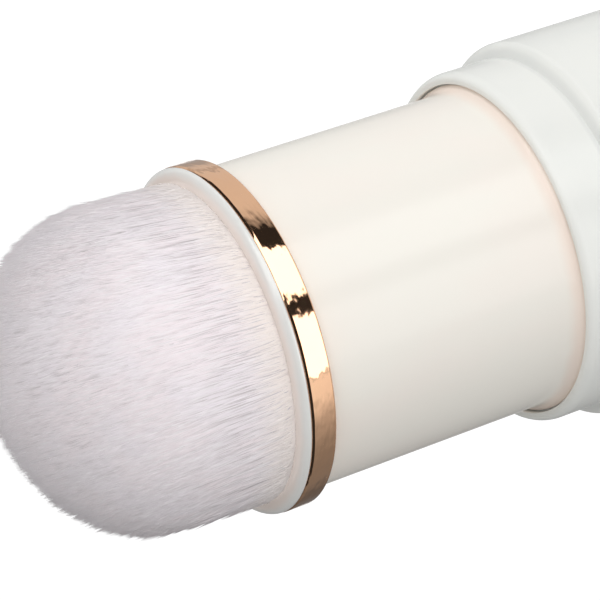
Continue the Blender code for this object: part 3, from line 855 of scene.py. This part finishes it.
def bristles():
    """The head of hair, in sectors round the axis."""
    chance = np.random.default_rng(HAIR_SEED)
    share, turn, spot = plant_hairs(chance)
    tip, lean, gap = trim_hairs(chance, share, spot)
    root = np.maximum(tip - HAIR_SHOWING, LIP_TOP - HAIR_ROOT_SINK)

    corners, faces = hair_strand()
    rise = corners[:, 2][None, :]
    height = root[:, None] + (tip - root)[:, None] * rise
    spin = (turn + math.pi / 2 + chance.normal(0, HAIR_SPIN, HAIR_COUNT))[:, None]
    across = corners[:, 0][None, :] * np.cos(spin) - corners[:, 1][None, :] * np.sin(spin)
    aside = corners[:, 0][None, :] * np.sin(spin) + corners[:, 1][None, :] * np.cos(spin)
    depth = np.abs(chance.normal(0, DEPTH_SPREAD, HAIR_COUNT))[:, None]
    reach = fan_radius(height) - depth
    sway = rise**2
    x = spot[:, :1] * reach + lean[:, :1] * sway
    y = spot[:, 1:] * reach + lean[:, 1:] * sway
    hairs = [x + across * HAIR_WIDTH + head_lean(height), y + aside * HAIR_WIDTH, height]
    hairs = np.stack(hairs, axis=2)
    normals = head_normals(x, y, height) * NORMAL_SOFTNESS
    normals = normals + strand_normals(across, aside) * (1 - NORMAL_SOFTNESS)

    # Hairs of a short tuft lie in the gaps among the others, and get painted shade, darker the higher up
    # the dome
    domed = np.clip((tip - LIP_TOP - CREST_RISE) / (TIP_TOP - LIP_TOP), 0, 1)
    shade = gap * (SHORT_SHADE[0] + (SHORT_SHADE[1] - SHORT_SHADE[0]) * domed)
    back = (tip[:, None] - height) * BACK_SHADE + shade[:, None]

    for sector in range(HAIR_SECTORS):
        chosen = (turn * HAIR_SECTORS // math.tau).astype(int) == sector
        name = f"bristles_{sector + 1:02d}"
        piece = hair_sector(name, hairs[chosen], normals[chosen], back[chosen], faces)
        # Light gets through fine hair, so the hairs don't shade each other
        piece.visible_shadow = piece.visible_diffuse = False
        seat_in_mouth(piece)


def seat_in_mouth(piece):
    """A sector of the head rides on the carriage, with the bristle finish and a mesh of its own."""
    seat(piece, "carriage", "bristle", "bristle_head")
    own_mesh(piece)


def mark_back(mesh, back):
    """How far each corner of a mesh lies behind the tips, in millimetres: the finish paints shade by that.
    """
    values = (back / MILLIMETRE).astype(np.float32)
    mesh.attributes.new("back", "FLOAT", "POINT").data.foreach_set("value", values)


def hair_sector(name, hairs, normals, back, faces):
    """One mesh of many hairs, each with its own copy of the strand's faces."""
    count, corners, _ = hairs.shape
    triangles = (np.arange(count)[:, None, None] * corners + faces[None]).reshape(-1)
    mesh = bpy.data.meshes.new(name)
    mesh.vertices.add(count * corners)
    mesh.vertices.foreach_set("co", hairs.reshape(-1).astype(np.float32))
    mesh.loops.add(len(triangles))
    mesh.loops.foreach_set("vertex_index", triangles.astype(np.int32))
    mesh.polygons.add(len(triangles) // 3)
    mesh.polygons.foreach_set("loop_start", np.arange(0, len(triangles), 3, dtype=np.int32))
    mark_back(mesh, back.reshape(-1))
    mesh.update(calc_edges=True)
    mesh.validate()
    mesh.shade_smooth()
    mesh.normals_split_custom_set_from_vertices(normals.reshape(-1, 3))
    piece = bpy.data.objects.new(name, mesh)
    bpy.context.scene.collection.objects.link(piece)
    return piece


def bristle_core():
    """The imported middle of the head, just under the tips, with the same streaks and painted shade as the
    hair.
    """
    heights = np.linspace(CUP_TOP, SWELL_HEIGHT - CORE_INSET, CORE_STEPS)
    sides = [(float(bundle_radius(height)) - CORE_INSET, float(height)) for height in heights]
    shares = np.sin(np.linspace(math.pi / 2, 0, CORE_STEPS))
    tips = dome_height(shares) - CORE_INSET * (1 + np.sqrt(1 - shares**2))
    dome = [(float(share) * (SWELL_BUNDLE - CORE_INSET), float(tip)) for share, tip in zip(shares, tips)]
    outline = [*sides, *dome[1:-1], (0, dome[-1][1])]
    whole = lathe("bristle_core", outline, filled=True, segments=CORE_SEGMENTS)
    for sector in range(HAIR_SECTORS):
        piece = wedge(whole, f"bristle_core_{sector + 1:02d}", sector)
        for vertex in piece.data.vertices:
            vertex.co.x += float(head_lean(vertex.co.z))
        mark_back(piece.data, np.full(len(piece.data.vertices), CORE_BACK))
        smooth(piece)
        seat_in_mouth(piece)
    bpy.data.objects.remove(whole)


def wedge(whole, name, sector):
    """One sector cut out of a turned piece by two planes through the axis."""
    bpy.ops.object.select_all(action="DESELECT")
    piece = whole.copy()
    piece.data = whole.data.copy()
    piece.name = piece.data.name = name
    bpy.context.scene.collection.objects.link(piece)
    bpy.context.view_layer.objects.active = piece
    bpy.ops.object.mode_set(mode="EDIT")
    for side, edge in ((1, sector), (-1, sector + 1)):
        angle = math.tau * edge / HAIR_SECTORS
        across = (side * math.sin(angle), -side * math.cos(angle), 0)
        bpy.ops.mesh.select_all(action="SELECT")
        bpy.ops.mesh.bisect(plane_co=(0, 0, 0), plane_no=across, use_fill=True, clear_outer=True)
    bpy.ops.object.mode_set(mode="OBJECT")
    return piece


def camera():
    lens = bpy.data.cameras.new("camera")
    lens.lens = CAMERA_LENS
    lens.sensor_width = CAMERA_SENSOR
    eye = bpy.data.objects.new("camera", lens)
    bpy.context.scene.collection.objects.link(eye)
    upright = (CAMERA_AIM - CAMERA_PLACE).to_track_quat("-Z", "Y")
    eye.location = CAMERA_PLACE
    eye.rotation_mode = "QUATERNION"
    eye.rotation_quaternion = upright @ Quaternion((0, 0, 1), CAMERA_ROLL)
    bpy.context.scene.camera = eye


def lamp(name, azimuth, elevation, strength, softness):
    """A broad soft lamp, which polished surfaces don't mirror: they mirror the strips."""
    light = bpy.data.lights.new(name, "SUN")
    light.energy = strength
    light.angle = math.radians(softness)
    turn, up = math.radians(azimuth), math.radians(elevation)
    towards = Vector((math.sin(turn) * math.cos(up), -math.cos(turn) * math.cos(up), math.sin(up)))
    lit = bpy.data.objects.new(name, light)
    lit.rotation_mode = "QUATERNION"
    lit.rotation_quaternion = towards.to_track_quat("Z", "Y")
    lit.visible_glossy = False
    bpy.context.scene.collection.objects.link(lit)


def turn_share(azimuth):
    """An azimuth of -180 to 180 degrees as a share of a full turn."""
    return (azimuth + 180) / 360


def studio():
    """White to the camera, an even glow for shading, and strips and cards for what is polished."""
    world = bpy.data.worlds.new("studio")
    bpy.context.scene.world = world
    world.cycles.sampling_method = "NONE"
    shading = Shading(world)
    direction = shading.node("ShaderNodeTexCoord", output="Generated")
    x, y, z = (shading.node("ShaderNodeSeparateXYZ", inputs={0: direction}, output=axis) for axis in "XYZ")
    azimuth = shading.maths("ARCTAN2", x, 0.0 - y) / math.tau + 0.5
    stops = [(turn_share(degrees), [glow / STRIP_BRIGHTNESS] * 3) for degrees, glow in STRIPS]
    strips = shading.node("ShaderNodeValToRGB", {"stops": stops}, {0: azimuth})
    strips = shading.node("ShaderNodeSeparateColor", inputs={0: strips}) * STRIP_BRIGHTNESS
    overhead, underfoot = shading.step(z, *OVERHEAD_FADE), 1.0 - shading.step(z, *UNDERFOOT_FADE)
    start, end = OVERHEAD_WINDOW
    opening = shading.step(azimuth, turn_share(start - WINDOW_EDGE), turn_share(start))
    closing = shading.step(azimuth, turn_share(end), turn_share(end + WINDOW_EDGE))
    window = opening * (1.0 - closing) * STRIP_BRIGHTNESS
    strips = strips * (1.0 - overhead) * (1.0 - underfoot)
    strips = strips + overhead * (window + OVERHEAD_DARK) + underfoot * UNDERFOOT_GREY
    camera_ray = shading.node("ShaderNodeLightPath", output="Is Camera Ray")
    glossy_ray = shading.node("ShaderNodeLightPath", output="Is Glossy Ray")
    glow = strips * glossy_ray + (1.0 - glossy_ray) * (AMBIENT + x * AMBIENT_LEAN)
    glow = glow * (1.0 - camera_ray) + camera_ray
    colour = shading.node("ShaderNodeCombineColor", inputs={0: glow, 1: glow, 2: glow})
    background = shading.node("ShaderNodeBackground", inputs={"Color": colour})
    shading.node("ShaderNodeOutputWorld", inputs={"Surface": background})
    lamp("key_lamp", *KEY_LAMP)
    lamp("back_lamp", *BACK_LAMP)
    lamp("fill_lamp", *FILL_LAMP)


def floor_white(shading):
    """White to the camera but for the brush's shadow, and plain matt white to the light."""
    camera_ray = shading.node("ShaderNodeLightPath", output="Is Camera Ray")
    matt = shading.node("ShaderNodeBsdfDiffuse", inputs={"Color": (*FLOOR_MATT, 1.0)})
    glow = shading.node("ShaderNodeEmission", inputs={"Strength": FLOOR_GLOW})
    inputs = {0: camera_ray * FLOOR_GLOW_SHARE, 1: matt, 2: glow}
    return shading.node("ShaderNodeMixShader", inputs=inputs)


def floor():
    bpy.ops.object.select_all(action="DESELECT")
    bpy.ops.mesh.primitive_plane_add(size=FLOOR_SIZE, location=(0, 0, -FLOOR_DROP))
    ground = bpy.context.object
    ground.name = "floor"
    ground.data.materials.append(finish("floor_white", floor_white))
    ground.visible_glossy = False


bpy.context.scene.view_settings.view_transform = "Standard"
camera()
studio()
floor()
dress_cad_nodes()
handle_moulding()
base_plate()
barrel_moulding()
polished_ring()
mouth_bead()
bristle_core()
bristles()
